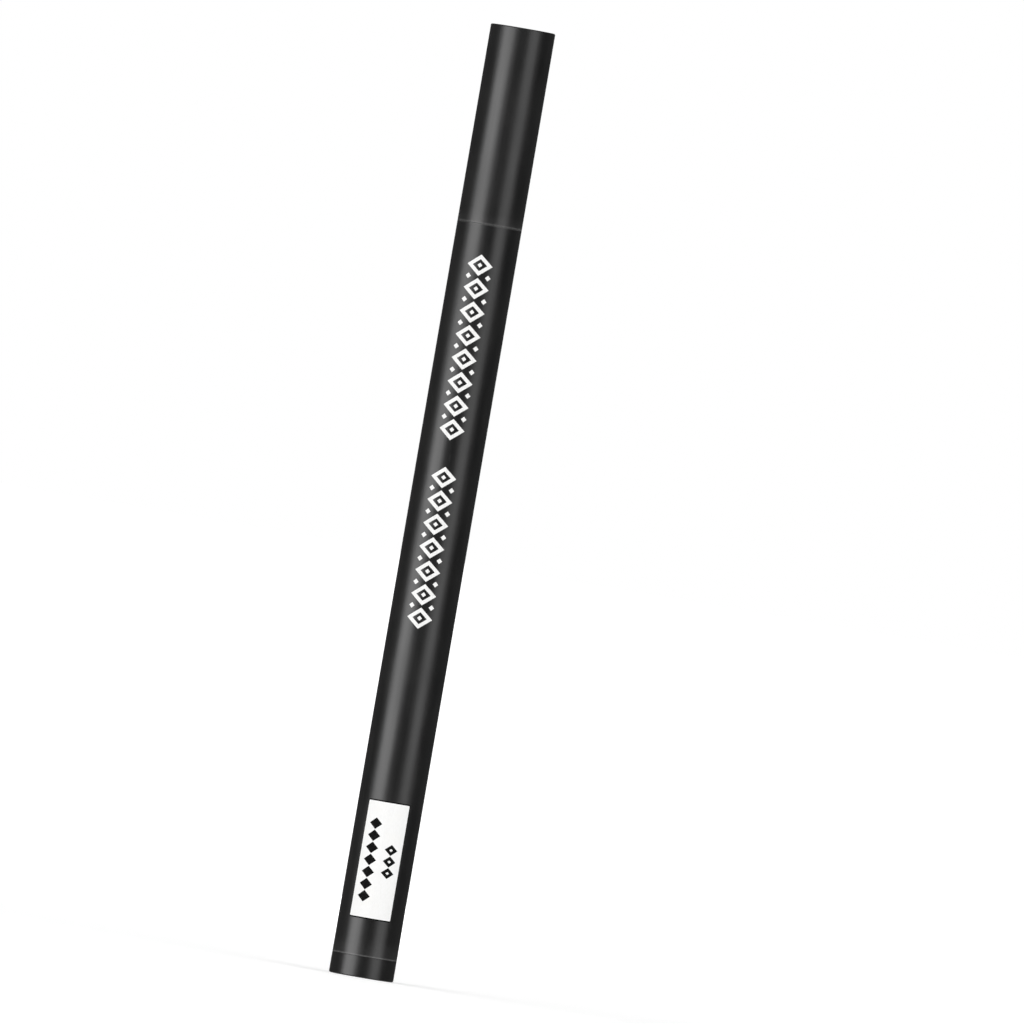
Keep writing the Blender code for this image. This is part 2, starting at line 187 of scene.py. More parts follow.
# Label
LABEL_GLUE = 0.03 * MM
LABEL_THICKNESS = 0.12 * MM
LABEL_ARC = math.radians(74.0)
LABEL_TURN = math.radians(-2.0)
LABEL_CORNER = 0.12 * MM
# A dark rim of painted shade round the label: its margin, lift and thickness
SHADE_RIM_MARGIN = 0.20 * MM
SHADE_RIM_LIFT = 0.004 * MM
SHADE_RIM_THICKNESS = 0.016 * MM
MARK_THICKNESS = 0.012 * MM
MARK_LIFT = 0.004 * MM

# Two rows of marks on the label: distance round from its middle line, start, end, width and count
LABEL_LONG_ROW = (-1.46 * MM, 10.93 * MM, 23.4 * MM, 1.90 * MM, 7)
LABEL_SHORT_ROW = (1.42 * MM, 14.72 * MM, 19.81 * MM, 1.92 * MM, 3)
LABEL_MARK_LENGTH_SHARE = 0.95
LABEL_RING_STROKE = 0.44 * MM

# Printed ornament: a chain of lozenges in two runs along the barrel, each with its start, end and count
PRINT_RUNS = ((51.2 * MM, 75.4 * MM, 7), (79.0 * MM, 106.7 * MM, 8))
PRINT_TURN = math.radians(-4.8)
PRINT_WIDTH = 3.76 * MM
PRINT_STROKE = 0.52 * MM
PRINT_TIP_GAP = 0.34 * MM
PRINT_CORE = 0.36 * MM
PRINT_TICK = 0.42 * MM
PRINT_THICKNESS = 0.015 * MM
PRINT_LIFT = 0.004 * MM

# Facets of the visual meshes
TURNED_SIDES = 160
NIB_SIDES = 64
FILLET_STEPS = 7
NOSE_FILLET_STEPS = 14
NECK_STEPS = 40
NIB_STEPS = 6
RING_SPACING = 3.0 * MM
WRAP_STEP = math.radians(2.0)
SMOOTH_ANGLE = math.radians(32.0)
FILLET_LIMIT_SHARE = 0.96

# The pen in the photograph's frame of 1024 pixels: the middle of its foot and of its top
PHOTO_SIZE = 1024
FOOT_PIXEL = (360.9, 977.2)
TOP_PIXEL = (523.3, 28.5)
CAMERA_LENS = 1000.0
CAMERA_SENSOR = 36.0
CAMERA_NEAR = 0.01
CAMERA_FAR = 100.0

# Lamps that stand round the pen: name, bearing from the camera's direction, radiance, width, distance,
# and whether gloss shows them. The last one is there for the label's right half.
STANDING_LAMPS = (
    ("left_strip", math.radians(-49.8), 1.87, 0.57, 0.70, True),
    ("right_strip", math.radians(45.0), 0.88, 0.44, 0.70, True),
    ("back_strip", math.radians(180.0), 2.00, 0.30, 0.80, True),
    ("right_fill", math.radians(70.0), 1.70, 0.50, 0.90, False),
)
STANDING_LAMP_HEIGHT = 1.1
STANDING_LAMP_Z = 0.07
# The lamp overhead: name, radiance, width, depth and height above the floor
TOP_LAMP = ("top_panel", 0.36, 1.1, 1.1, 0.9)
WATTS_PER_RADIANCE = 4.0
FILL_LIGHT = 0.385

# Dark surround: the light of its front, its back and its bottom, and where one becomes the other
SURROUND_RADIUS = 1.0
SURROUND_SIDES = 96
SURROUND_FRONT_LIGHT = 0.0104
SURROUND_BACK_LIGHT = 0.076
SURROUND_FRONT_Y = -0.1
SURROUND_BACK_Y = 0.5
SURROUND_BOTTOM_LIGHT = 0.24
SURROUND_SIDE_Z = -0.50
SURROUND_BOTTOM_Z = -0.95

# Floor: its own light near the pen and far from it, and the distances between which one becomes the other
FLOOR_SIZE = 60.0
FLOOR_COLOUR = (0.8, 0.8, 0.8)
FLOOR_NEAR_LIGHT = 0.37
FLOOR_FAR_LIGHT = 1.0
FLOOR_NEAR = 0.10
FLOOR_FAR = 0.45
FLOOR_DROP = 0.02 * MM

# The usual lowest and highest value of a noise. Each noise below has the sizes of its features along
# X, Y and Z, its detail, and a shift that tells it from the others.
NOISE_LOW = 0.30
NOISE_HIGH = 0.70

# Black plastic
MOTTLE = ((2.2 * MM, 2.2 * MM, 6.0 * MM), 4.0, 0.0)
DRAW_LINES = ((0.30 * MM, 0.30 * MM, 22.0 * MM), 3.0, 11.0)
GRAIN = ((0.11 * MM, 0.11 * MM, 0.11 * MM), 2.0, 23.0)
HANDLING = ((7.0 * MM, 7.0 * MM, 16.0 * MM), 2.0, 37.0)
SCRATCHES = ((0.09 * MM, 1.1 * MM, 2.6 * MM), 2.0, 53.0)
# Noise that breaks up the painted highlight lines at the seams
LINE_BREAKS = ((0.5 * MM, 0.5 * MM, 0.5 * MM), 3.0, 71.0)
SCRATCH_RANGE = (0.66, 0.76)
SCRATCHED_AREA_RANGE = (0.52, 0.66)
PLASTIC_RELIEF = 0.004 * MM
GRAIN_SHARE = 0.55
SCRATCH_COLOUR_SHARE = 0.5
LINE_BREAK_LOWEST_SHARE = 0.55
BLACK_DEEP = (0.0047, 0.0047, 0.0049)
BLACK_PALE = (0.0082, 0.0081, 0.0080)
# The colour painted as highlights along the seams
BLACK_PAINTED_HIGHLIGHT = (0.16, 0.16, 0.158)
BLACK_SCUFFED = (0.035, 0.035, 0.034)
PLASTIC_IOR = 1.78
SECTION_IOR = 1.88
PLASTIC_ROUGHNESS = 0.36
SECTION_ROUGHNESS = 0.28
HANDLED_ROUGHER = 0.035
HANDLED_SMOOTHER = 0.025
DRAW_LINE_ROUGHNESS = 0.02
SCRATCH_ROUGHNESS = 0.12

# Painted highlights: a pale line painted along a moulding's edge at a seam, and a fainter painted
# brightening beside the seam
SEAM_CATCH = 0.07 * MM
HIGHLIGHT_LINE = 0.19 * MM
HIGHLIGHT_LINE_FLAT_SHARE = 0.35
BASE_LINE_SHARE = 0.55
RIM_LINE_SHARE = 0.30
CAP_LINE_SHARE = 0.34
BASE_BRIGHTENING_REACH = 3.2 * MM
CAP_BRIGHTENING_REACH = 1.9 * MM
BRIGHTENING_FLAT_SHARE = 0.05
BRIGHTENING_SHARE = 0.085

# Inked fibre of the nib and the reservoir
FIBRES = ((0.05 * MM, 0.05 * MM, 1.6 * MM), 4.0, 3.0)
INK_PATCHES = ((0.6 * MM, 0.6 * MM, 1.0 * MM), 3.0, 17.0)
INK_PATCH_RANGE = (0.40, 0.75)
INK_PATCH_SHARE = 0.5
FIBRE_DEEP = (0.0026, 0.0027, 0.0038)
FIBRE_PALE = (0.0105, 0.0108, 0.0145)
FIBRE_PATCHED = (0.0045, 0.005, 0.010)
FIBRE_ROUGHNESS = (0.62, 0.85)
FIBRE_SHEEN = 0.08
FIBRE_SHEEN_ROUGHNESS = 0.5
FIBRE_RELIEF = 0.03 * MM

# Clear film round the reservoir
CREASES = ((0.8 * MM, 0.8 * MM, 9.0 * MM), 3.0, 5.0)
FILM_DEEP = (0.55, 0.60, 0.62)
FILM_PALE = (0.70, 0.74, 0.76)
FILM_ROUGHNESS = (0.18, 0.32)
FILM_TRANSMISSION = 0.6
CREASE_RELIEF = 0.03 * MM

# Soft plastic of the cap's liner
LINER_CLOUD = ((1.4 * MM, 1.4 * MM, 2.0 * MM), 4.0, 7.0)
LINER_GRAIN = ((0.14 * MM, 0.14 * MM, 0.14 * MM), 2.0, 19.0)
LINER_DEEP = (0.52, 0.52, 0.50)
LINER_PALE = (0.63, 0.63, 0.61)
LINER_ROUGHNESS = (0.42, 0.55)
LINER_GLOW = 0.25
LINER_GLOW_DEPTH = 0.4 * MM
LINER_RELIEF = 0.004 * MM

# Paper of the label
PAPER_FIBRES = ((0.10 * MM, 0.10 * MM, 0.45 * MM), 5.0, 29.0)
PAPER_CLOUD = ((2.5 * MM, 2.5 * MM, 2.5 * MM), 3.0, 31.0)
PAPER_CLOUD_RANGE = (0.45, 0.80)
PAPER_CLOUD_SHARE = 0.35
PAPER_DEEP = (0.84, 0.84, 0.83)
PAPER_PALE = (0.875, 0.875, 0.87)
PAPER_CLOUDED = (0.85, 0.84, 0.80)
PAPER_ROUGHNESS = (0.46, 0.58)
PAPER_GLOSS = 0.3
PAPER_RELIEF = 0.004 * MM

# A dark rim of painted shade round the label
SHADE_RIM_FILM = ((0.4 * MM, 0.4 * MM, 0.8 * MM), 3.0, 61.0)
SHADE_RIM_DEEP = (0.0015, 0.0015, 0.0015)
SHADE_RIM_PALE = (0.004, 0.004, 0.004)
SHADE_RIM_ROUGHNESS = (0.78, 0.92)
SHADE_RIM_GLOSS = 0.12
SHADE_RIM_RELIEF = 0.003 * MM

# Printing inks: the colour where the ink is thin and where it is full, the roughness and the gloss
LABEL_INK = ((0.010, 0.010, 0.010), (0.004, 0.004, 0.004), (0.75, 0.90), 0.12)
BARREL_INK = ((0.74, 0.74, 0.73), (0.84, 0.84, 0.83), (0.36, 0.48), 0.5)
INK_COVER = ((0.30 * MM, 0.30 * MM, 0.30 * MM), 5.0, 41.0)
INK_COVER_RANGE = (0.28, 0.52)
INK_RELIEF = 0.003 * MM


def clear_startup_objects():
    """Removes what Blender's startup file holds, and keeps the frame."""
    for name in ("Cube", "Light", "Camera"):
        found = bpy.data.objects.get(name)
        if found and "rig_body" not in found:
            bpy.data.objects.remove(found, do_unlink=True)


def add_object(name, data):
    """A new object in the scene, which holds this mesh, lamp or camera."""
    obj = bpy.data.objects.new(name, data)
    bpy.context.scene.collection.objects.link(obj)
    return obj


# Material helpers


def new_material(name):
    """A material, its nodes and its Principled shader."""
    material = bpy.data.materials.new(name)
    material.use_nodes = True
    tree = material.node_tree
    return material, tree, tree.nodes["Principled BSDF"]


def feed(tree, socket, value):
    """Links a socket to a node's output, or writes a plain value into it."""
    if isinstance(value, bpy.types.NodeSocket):
        tree.links.new(value, socket)
    else:
        socket.default_value = value


def place_on_piece(tree):
    """A point of the piece, in metres, at rest."""
    return tree.nodes.new("ShaderNodeTexCoord").outputs["Object"]


def axes_of(tree):
    """The X, Y and Z of a point of the piece, in metres, at rest."""
    parts = tree.nodes.new("ShaderNodeSeparateXYZ")
    tree.links.new(place_on_piece(tree), parts.inputs["Vector"])
    return parts.outputs


def noise_of(tree, pattern):
    """The noise that a pattern of feature sizes, detail and shift describes."""
    sizes, detail, shift = pattern
    mapping = tree.nodes.new("ShaderNodeMapping")
    mapping.inputs["Location"].default_value = (shift, shift, shift)
    mapping.inputs["Scale"].default_value = [1 / size for size in sizes]
    tree.links.new(place_on_piece(tree), mapping.inputs["Vector"])
    texture = tree.nodes.new("ShaderNodeTexNoise")
    texture.inputs["Scale"].default_value = 1.0
    texture.inputs["Detail"].default_value = detail
    tree.links.new(mapping.outputs["Vector"], texture.inputs["Vector"])
    return texture.outputs["Fac"]


def ranged(tree, value, start, end, low, high):
    """Maps a value from start and end to low and high, smoothly and within them."""
    node = tree.nodes.new("ShaderNodeMapRange")
    node.interpolation_type = "SMOOTHSTEP"
    node.inputs["From Min"].default_value = start
    node.inputs["From Max"].default_value = end
    node.inputs["To Min"].default_value = low
    node.inputs["To Max"].default_value = high
    tree.links.new(value, node.inputs["Value"])
    return node.outputs["Result"]


def maths(tree, operation, first, second=0.0):
    node = tree.nodes.new("ShaderNodeMath")
    node.operation = operation
    feed(tree, node.inputs[0], first)
    feed(tree, node.inputs[1], second)
    return node.outputs["Value"]


def mixed(tree, share, first, second):
    """A colour between two colours, or between a node's colour and another."""
    node = tree.nodes.new("ShaderNodeMix")
    node.data_type = "RGBA"
    feed(tree, node.inputs["Factor"], share)
    colour_inputs = [socket for socket in node.inputs if socket.type == "RGBA"]
    for socket, colour in zip(colour_inputs, (first, second)):
        feed(tree, socket, colour if isinstance(colour, bpy.types.NodeSocket) else (*colour, 1.0))
    return [socket for socket in node.outputs if socket.type == "RGBA"][0]


def spread(tree, value, low, high):
    """Maps noise from its usual lowest and highest value to low and high."""
    return ranged(tree, value, NOISE_LOW, NOISE_HIGH, low, high)


def blended(tree, value, deep, pale):
    """A colour that goes from deep to pale as noise goes from its usual lowest to its highest value."""
    return mixed(tree, spread(tree, value, 0.0, 1.0), deep, pale)


def band(tree, z, half_width, flat_share):
    """1 at this height and over this share of half_width, falling to 0 at half_width above and below."""
    away = maths(tree, "ABSOLUTE", maths(tree, "SUBTRACT", axes_of(tree)["Z"], z))
    return ranged(tree, away, half_width * flat_share, half_width, 1.0, 0.0)


def surface(tree, shader, colour, roughness, height, relief):
    """Gives the shader its colour, its roughness and bumps of this relief in metres."""
    bump = tree.nodes.new("ShaderNodeBump")
    bump.inputs["Strength"].default_value = 1.0
    bump.inputs["Distance"].default_value = relief
    tree.links.new(height, bump.inputs["Height"])
    tree.links.new(bump.outputs["Normal"], shader.inputs["Normal"])
    tree.links.new(colour, shader.inputs["Base Color"])
    tree.links.new(roughness, shader.inputs["Roughness"])


# Materials


def satin_plastic(name, painted_edge_light=(), roughness=PLASTIC_ROUGHNESS, ior=PLASTIC_IOR):
    """Moulded black plastic: a fine grain, draw lines along the pen, light scuffs and painted highlights
    at its seams.

    A painted highlight has a height, how far its paleness reaches, the share of that which is even, and an
    amount.
    """
    material, tree, shader = new_material(name)
    mottle = noise_of(tree, MOTTLE)
    draw_lines = noise_of(tree, DRAW_LINES)
    grain = noise_of(tree, GRAIN)
    handling = noise_of(tree, HANDLING)
    scratch_field = noise_of(tree, SCRATCHES)
    scratches = maths(
        tree,
        "MULTIPLY",
        ranged(tree, scratch_field, *SCRATCH_RANGE, 0.0, 1.0),
        ranged(tree, handling, *SCRATCHED_AREA_RANGE, 0.0, 1.0),
    )
    colour = blended(tree, mottle, BLACK_DEEP, BLACK_PALE)
    scuffed = maths(tree, "MULTIPLY", scratches, SCRATCH_COLOUR_SHARE)
    colour = mixed(tree, scuffed, colour, BLACK_SCUFFED)
    # Painted highlights: a pale line along each seam's edge and a fainter painted brightening beside it
    for z, reach, flat_share, amount in painted_edge_light:
        line_breaks = noise_of(tree, LINE_BREAKS)
        edge_light = maths(
            tree,
            "MULTIPLY",
            band(tree, z, reach, flat_share),
            spread(tree, line_breaks, LINE_BREAK_LOWEST_SHARE * amount, amount),
        )
        colour = mixed(tree, edge_light, colour, BLACK_PAINTED_HIGHLIGHT)
    rough = maths(
        tree,
        "ADD",
        spread(tree, handling, roughness + HANDLED_ROUGHER, roughness - HANDLED_SMOOTHER),
        spread(tree, draw_lines, -DRAW_LINE_ROUGHNESS, DRAW_LINE_ROUGHNESS),
    )
    rough = maths(tree, "ADD", rough, maths(tree, "MULTIPLY", scratches, SCRATCH_ROUGHNESS))
    height = maths(
        tree,
        "ADD",
        maths(tree, "MULTIPLY", grain, GRAIN_SHARE),
        maths(tree, "MULTIPLY", draw_lines, 1 - GRAIN_SHARE),
    )
    surface(tree, shader, colour, rough, height, PLASTIC_RELIEF)
    shader.inputs["IOR"].default_value = ior
    return material


def inked_fibre(name):
    """Felt soaked in dark ink: fibres along the rod, a dull surface with a faint blue cast."""
    material, tree, shader = new_material(name)
    fibres = noise_of(tree, FIBRES)
    patches = noise_of(tree, INK_PATCHES)
    patched = ranged(tree, patches, *INK_PATCH_RANGE, 0.0, INK_PATCH_SHARE)
    colour = mixed(tree, patched, blended(tree, fibres, FIBRE_DEEP, FIBRE_PALE), FIBRE_PATCHED)
    surface(tree, shader, colour, spread(tree, patches, *FIBRE_ROUGHNESS), fibres, FIBRE_RELIEF)
    shader.inputs["Sheen Weight"].default_value = FIBRE_SHEEN
    shader.inputs["Sheen Roughness"].default_value = FIBRE_SHEEN_ROUGHNESS
    return material


def clear_film(name):
    """The thin sleeve round the reservoir."""
    material, tree, shader = new_material(name)
    creases = noise_of(tree, CREASES)
    colour = blended(tree, creases, FILM_DEEP, FILM_PALE)
    surface(tree, shader, colour, spread(tree, creases, *FILM_ROUGHNESS), creases, CREASE_RELIEF)
    shader.inputs["Transmission Weight"].default_value = FILM_TRANSMISSION
    return material


def soft_liner_plastic(name):
    """Unpainted soft plastic, milky and slightly waxy."""
    material, tree, shader = new_material(name)
    cloud = noise_of(tree, LINER_CLOUD)
    grain = noise_of(tree, LINER_GRAIN)
    colour = blended(tree, cloud, LINER_DEEP, LINER_PALE)
    surface(tree, shader, colour, spread(tree, cloud, *LINER_ROUGHNESS), grain, LINER_RELIEF)
    shader.inputs["Subsurface Weight"].default_value = LINER_GLOW
    shader.inputs["Subsurface Radius"].default_value = (1.0, 1.0, 1.0)
    shader.inputs["Subsurface Scale"].default_value = LINER_GLOW_DEPTH
    return material


def label_paper(name):
    """Coated white paper: faint fibres, a slightly uneven sheen."""
    material, tree, shader = new_material(name)
    fibres = noise_of(tree, PAPER_FIBRES)
    cloud = noise_of(tree, PAPER_CLOUD)
    clouded = ranged(tree, cloud, *PAPER_CLOUD_RANGE, 0.0, PAPER_CLOUD_SHARE)
    colour = mixed(tree, clouded, blended(tree, fibres, PAPER_DEEP, PAPER_PALE), PAPER_CLOUDED)
    surface(tree, shader, colour, spread(tree, cloud, *PAPER_ROUGHNESS), fibres, PAPER_RELIEF)
    shader.inputs["Specular IOR Level"].default_value = PAPER_GLOSS
    return material


def painted_shade_rim(name):
    """A dark rim of painted shade: a thin sheet that shows as a dark line round the label on black
    plastic.
    """
    material, tree, shader = new_material(name)
    film = noise_of(tree, SHADE_RIM_FILM)
    colour = blended(tree, film, SHADE_RIM_DEEP, SHADE_RIM_PALE)
    surface(tree, shader, colour, spread(tree, film, *SHADE_RIM_ROUGHNESS), film, SHADE_RIM_RELIEF)
    shader.inputs["Specular IOR Level"].default_value = SHADE_RIM_GLOSS
    return material


def printing_ink(name, thin, full, roughness, gloss):
    """A printed layer that is thinner in places."""
    material, tree, shader = new_material(name)
    cover = noise_of(tree, INK_COVER)
    colour = mixed(tree, ranged(tree, cover, *INK_COVER_RANGE, 0.0, 1.0), thin, full)
    surface(tree, shader, colour, spread(tree, cover, *roughness), cover, INK_RELIEF)
    shader.inputs["Specular IOR Level"].default_value = gloss
    return material


def finish_kept_node(name, material):
    """Gives a CAD node that stays its material."""
    materials = frame["nodes"][name].data.materials
    materials.clear()
    materials.append(material)


# Mesh helpers


def rounded(corners, steps=FILLET_STEPS):
    """The closed outline through (radius, height, fillet) corners, with each fillet as an arc."""
    outline = []
    for i, (r, z, fillet) in enumerate(corners):
        before, after = corners[i - 1], corners[(i + 1) % len(corners)]
        if fillet == 0:
            outline.append((r, z))
            continue
        to_before = (before[0] - r, before[1] - z)
        to_after = (after[0] - r, after[1] - z)
        length_before, length_after = math.hypot(*to_before), math.hypot(*to_after)
        u = (to_before[0] / length_before, to_before[1] / length_before)
        v = (to_after[0] / length_after, to_after[1] / length_after)
        half = math.acos(max(-1.0, min(1.0, u[0] * v[0] + u[1] * v[1]))) / 2
        room_before = length_before / 2 if before[2] else length_before
        room_after = length_after / 2 if after[2] else length_after
        longest = FILLET_LIMIT_SHARE * min(room_before, room_after)
        cut_back = min(fillet / math.tan(half), longest)
        radius = cut_back * math.tan(half)
        middle = (u[0] + v[0], u[1] + v[1])
        reach = radius / math.sin(half) / math.hypot(*middle)
        centre = (r + middle[0] * reach, z + middle[1] * reach)
        start = (r + u[0] * cut_back - centre[0], z + u[1] * cut_back - centre[1])
        end = (r + v[0] * cut_back - centre[0], z + v[1] * cut_back - centre[1])
        first = math.atan2(start[1], start[0])
        turn = math.atan2(end[1], end[0]) - first
        turn = (turn + math.pi) % math.tau - math.pi
        for step in range(steps + 1):
            angle = first + turn * step / steps
            outline.append(
                (centre[0] + radius * math.cos(angle), centre[1] + radius * math.sin(angle))
            )
    return outline


def with_rings(outline):
    """Splits the long sides of an outline, so that no facet of the turned shape is a long sliver."""
    points = []
    for a, b in zip(outline, outline[1:] + outline[:1]):
        points.append(a)
        if a[0] == 0 and b[0] == 0:
            continue
        pieces = math.ceil(math.dist(a, b) / RING_SPACING)
        for step in range(1, pieces):
            share = step / pieces
            points.append((a[0] + (b[0] - a[0]) * share, a[1] + (b[1] - a[1]) * share))
    return points


def object_from(bm, name, material):
    """Turns a finished bmesh into an object in the scene."""
    mesh = bpy.data.meshes.new(name)
    bm.to_mesh(mesh)
    bm.free()
    if material:
        mesh.materials.append(material)
    return add_object(name, mesh)


def turned(name, outline, material, sides=TURNED_SIDES):
    """A solid of revolution about Z. Two neighbouring outline points on the axis close it there."""
    bm = bmesh.new()
    points = [bm.verts.new((r, 0.0, z)) for r, z in with_rings(outline)]
    edges = []
    for a, b in zip(points, points[1:] + points[:1]):
        if a.co.x > 0 or b.co.x > 0:
            edges.append(bm.edges.new((a, b)))
    bmesh.ops.spin(
        bm,
        geom=points + edges,
        cent=(0, 0, 0),
        axis=(0, 0, 1),
        angle=math.tau,
        steps=sides,
        use_merge=True,
    )
    bmesh.ops.remove_doubles(bm, verts=bm.verts, dist=WELD)
    bmesh.ops.dissolve_degenerate(bm, edges=bm.edges, dist=WELD)
    bmesh.ops.recalc_face_normals(bm, faces=bm.faces)
    return object_from(bm, name, material)


def settle(obj, *helpers):
    """Fuses the helpers with the object, keeps what its modifiers give and smooths its shading."""
    for helper in helpers:
        union = obj.modifiers.new("fuse_" + helper.name, "BOOLEAN")
        union.operation = "UNION"
        union.solver = "EXACT"
        union.object = helper
    graph = bpy.context.evaluated_depsgraph_get()
    mesh = bpy.data.meshes.new_from_object(obj.evaluated_get(graph))
    obj.modifiers.clear()
    obj.data = mesh
    mesh.shade_smooth()
    mesh.set_sharp_from_angle(angle=SMOOTH_ANGLE)
    weighted = obj.modifiers.new("weighted_normals", "WEIGHTED_NORMAL")
    weighted.keep_sharp = True
    for helper in helpers:
        bpy.data.objects.remove(helper, do_unlink=True)


def add_box(bm, low, high, turn):
    """Adds a box between two corners, turned about Z."""
    verts = bmesh.ops.create_cube(bm, size=1.0)["verts"]
    size = [b - a for a, b in zip(low, high)]
    middle = [(a + b) / 2 for a, b in zip(low, high)]
    bmesh.ops.scale(bm, verts=verts, vec=size)
    bmesh.ops.translate(bm, verts=verts, vec=middle)
    bmesh.ops.rotate(bm, verts=verts, matrix=Matrix.Rotation(turn, 3, "Z"))


def ribs(name, count, width, radii, heights):
    """Evenly spaced axial ribs, from one radius to another and from one height to another."""
    bm = bmesh.new()
    for i in range(count):
        low = (radii[0], -width / 2, heights[0])
        high = (radii[1], width / 2, heights[1])
        add_box(bm, low, high, math.tau * i / count)
    return object_from(bm, name, None)


def cross(name, reach, thickness, heights):
    """An upright prism whose section is a plus sign."""
    half = thickness / 2
    quarter = [(reach, -half), (reach, half), (half, half)]
    points = []
    for turn in range(4):
        for x, y in quarter:
            for _ in range(turn):
                x, y = -y, x
            points.append((x, y))
    bm = bmesh.new()
    low = [bm.verts.new((x, y, heights[0])) for x, y in points]
    high = [bm.verts.new((x, y, heights[1])) for x, y in points]
    bm.faces.new(low[::-1])
    bm.faces.new(high)
    for i in range(len(points)):
        after = (i + 1) % len(points)
        bm.faces.new((low[i], low[after], high[after], high[i]))
    return object_from(bm, name, None)


def gate_mark(end_z, inward):
    """The outline of the dimple and the gate stub in a closed end, from the axis outwards."""
    floor_z = end_z + inward * GATE_DIMPLE_DEPTH
    stub_z = floor_z - inward * GATE_STUB_HEIGHT
    ring_depth = GATE_DIMPLE_DEPTH * GATE_RING_SHARE
    return [
        (0.0, stub_z),
        (GATE_STUB_R - GATE_STUB_HEIGHT / 2, stub_z),
        (GATE_STUB_R, floor_z),
        (GATE_DIMPLE_R - GATE_DIMPLE_DEPTH, floor_z),
        (GATE_DIMPLE_R - ring_depth, end_z + inward * ring_depth),
        (GATE_DIMPLE_R, end_z),
    ]


# Mouldings


def make_end_plug(plastic):
    """The plug that closes the barrel's rear, with its flange, spigot, crush ribs and stop."""
    cup_r = PLUG_SPIGOT_R - PLUG_SPIGOT_WALL
    outline = gate_mark(0.0, 1) + rounded(
        [
            (GATE_DIMPLE_R, 0.0, 0.0),
            (BODY_R, 0.0, OUTER_EDGE),
            (BODY_R, PLUG_FLANGE_TOP_Z, SEAM_EDGE),
            (PLUG_SPIGOT_R, PLUG_FLANGE_TOP_Z, 0.0),
            (PLUG_SPIGOT_R, PLUG_SPIGOT_TOP_Z - LEAD_IN, 0.0),
            (PLUG_SPIGOT_R - LEAD_IN, PLUG_SPIGOT_TOP_Z, 0.0),
            (cup_r, PLUG_SPIGOT_TOP_Z, 0.0),
            (cup_r, PLUG_FLOOR, 0.0),
            (0.0, PLUG_FLOOR, 0.0),
        ]
    )[1:]
    plug = turned("end_plug_moulding", outline, plastic)
    crush_ribs = ribs(
        "plug_crush_ribs",
        PLUG_RIB_COUNT,
        PLUG_RIB_WIDTH,
        (PLUG_SPIGOT_R - PLUG_SPIGOT_WALL / 2, BARREL_BORE_R - FIT_GAP),
        (BARREL_START_Z + SEAT_GAP, PLUG_SPIGOT_TOP_Z - LEAD_IN - SEAT_GAP),
    )
    stop = cross(
        "plug_stop",
        cup_r + PLUG_SPIGOT_WALL / 2,
        PLUG_STOP_THICKNESS,
        (PLUG_FLOOR - OVERRUN, PLUG_STOP_TOP_Z),
    )
    settle(plug, crush_ribs, stop)
    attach(plug, "pen")
    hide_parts("end_plug")


def make_barrel(plastic):
    """The straight tube that is held in the hand, with ribs in its bore that centre the reservoir."""
    outline = rounded(
        [
            (BODY_R, BARREL_START_Z, SEAM_EDGE),
            (BODY_R, RIM_Z, SEAM_EDGE),
            (BARREL_BORE_R, RIM_Z, SEAM_EDGE),
            (BARREL_BORE_R, BARREL_START_Z, SEAM_EDGE),
        ]
    )
    barrel = turned("barrel_tube", outline, plastic)
    reservoir_ribs = ribs(
        "barrel_reservoir_ribs",
        BARREL_RIB_COUNT,
        BARREL_RIB_WIDTH,
        (BARREL_BORE_R - BARREL_RIB_HEIGHT, BARREL_BORE_R + BARREL_WALL / 2),
        (PLUG_SPIGOT_TOP_Z + BARREL_RIB_END_MARGIN, SECTION_START_Z - BARREL_RIB_END_MARGIN),
    )
    settle(barrel, reservoir_ribs)
    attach(barrel, "pen")
    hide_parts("barrel")


def neck_outline():
    """The front section's narrowing from its straight part to the base of its nose."""
    points = []
    for step in range(NECK_STEPS + 1):
        share = step / NECK_STEPS
        ease = (1 - math.cos(math.pi * share)) / 2
        r = GRIP_R + (NOSE_BASE_R - GRIP_R) * ease
        points.append((r, NECK_START_Z + (NECK_END_Z - NECK_START_Z) * share))
    return points


def make_front_section(plastic):
    """The part that carries the nib: a spigot in the barrel, a shoulder, a waisted neck and a nose."""
    guide_z = NOSE_TOP_Z - NIB_GUIDE_LENGTH
    cone = SECTION_BORE_R - NIB_HOLE_R
    outline = rounded(
        [
            (SECTION_CAVITY_R, SECTION_START_Z, 0.0),
            (SECTION_SPIGOT_R - LEAD_IN, SECTION_START_Z, 0.0),
            (SECTION_SPIGOT_R, SECTION_START_Z + LEAD_IN, 0.0),
            (SECTION_SPIGOT_R, SHOULDER_START_Z, 0.0),
            (SHOULDER_R, SHOULDER_START_Z, SEAM_EDGE / 2),
            (SHOULDER_R, SHOULDER_TOP_Z, SHOULDER_FILLET),
            (GRIP_R, SHOULDER_TOP_Z, 0.0),
        ]
    )
    outline += neck_outline()
    outline += rounded(
        [
            (NOSE_BASE_R, NECK_END_Z, 0.0),
            (NOSE_TIP_R, NOSE_TOP_Z, NOSE_FILLET),
            (NIB_HOLE_R, NOSE_TOP_Z, 0.0),
        ],
        NOSE_FILLET_STEPS,
    )[1:]
    outline += [
        (NIB_HOLE_R, guide_z),
        (SECTION_BORE_R, guide_z - cone),
        (SECTION_BORE_R, NECK_START_Z),
        (SECTION_CAVITY_R, SHOULDER_START_Z),
    ]
    section = turned("front_section_moulding", outline, plastic)
    nib_ribs = ribs(
        "section_nib_ribs",
        NIB_RIB_COUNT,
        NIB_RIB_WIDTH,
        (NIB_HOLE_R, SECTION_BORE_R + (NOSE_TIP_R - SECTION_BORE_R) / 2),
        (NECK_START_Z + cone, guide_z),
    )
    settle(section, nib_ribs)
    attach(section, "pen")
    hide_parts("front_section")


